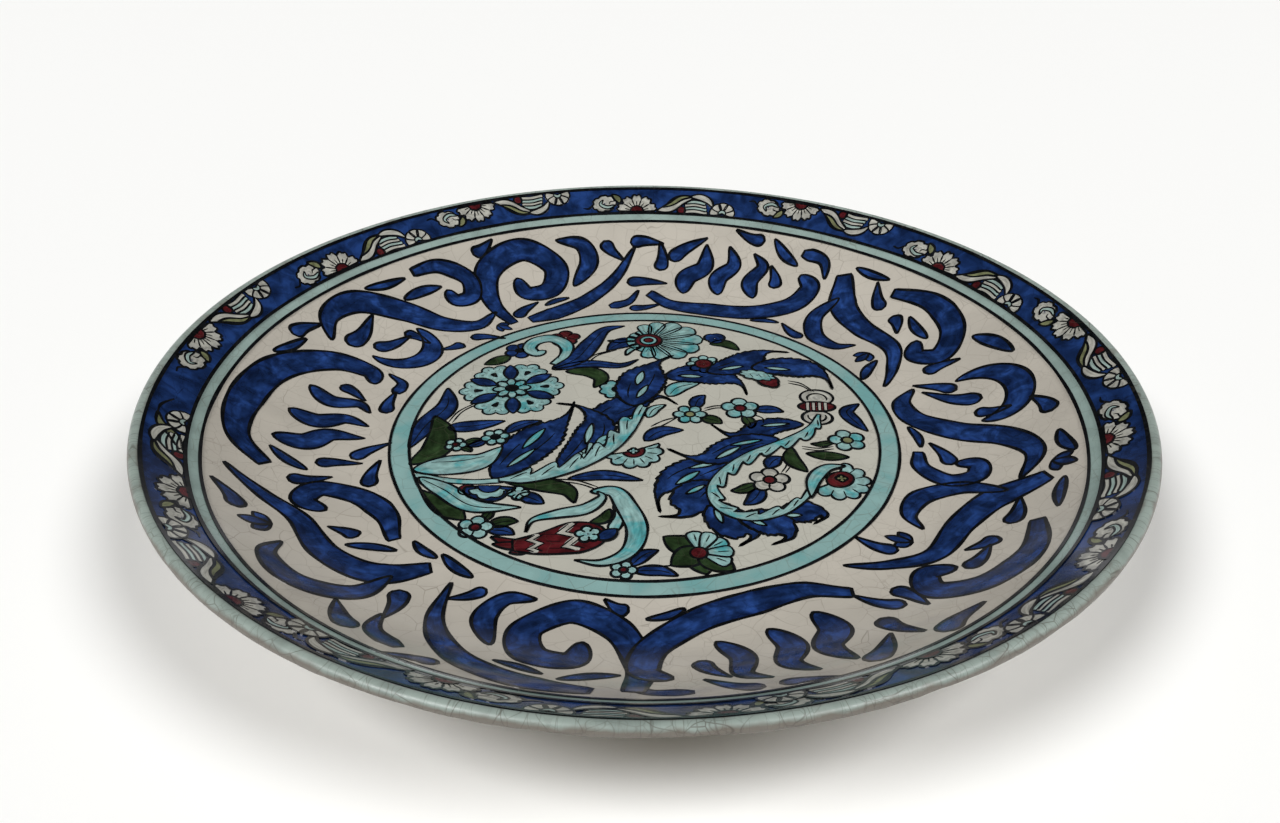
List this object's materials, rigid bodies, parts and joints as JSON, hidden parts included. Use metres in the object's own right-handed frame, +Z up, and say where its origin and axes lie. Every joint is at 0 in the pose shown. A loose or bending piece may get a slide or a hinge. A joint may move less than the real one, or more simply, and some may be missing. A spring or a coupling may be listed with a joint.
{
  "type": "hand painted ceramic plate",
  "caption": "Round footed ceramic plate with a sloping wall and a round lip, hand painted under glaze with florals, scrollwork and ring borders.",
  "frame": {"origin": "centre of the foot ring's underside, on the plane the plate stands on", "axes": "+Z up along the plate's axis; -Y towards the viewer at the medallion's near side"},
  "size_m": [0.3, 0.3, 0.0405],
  "materials": {
    "biscuit": "bare fired clay, matt",
    "white_glaze": "off-white slip under crackled clear gloss glaze",
    "turquoise_glaze": "turquoise under crackled clear gloss glaze",
    "pale_turquoise_glaze": "pale turquoise under clear gloss glaze",
    "cobalt_glaze": "mottled cobalt under clear gloss glaze",
    "black_line": "black brush line under clear gloss glaze",
    "rim_glaze": "grey-turquoise gloss glaze",
    "red_slip": "raised dark red slip under clear gloss glaze",
    "green_glaze": "dark green under clear gloss glaze",
    "olive_glaze": "olive green under clear gloss glaze"
  },
  "bodies": {
    "root": {"clay_body": "biscuit", "foot_ring": "biscuit", "medallion_ground": "white_glaze", "medallion_inner_line": "black_line", "medallion_ring": "turquoise_glaze", "medallion_outer_line": "black_line", "scroll_band_ground": "white_glaze", "border_inner_line": "black_line", "border_ring": "pale_turquoise_glaze", "border_middle_line": "black_line", "cobalt_border": "cobalt_glaze", "rim_line": "black_line", "rim_glaze": "rim_glaze", "back_glaze": "white_glaze", "foot_well_glaze": "white_glaze"}
  },
  "joints": []
}
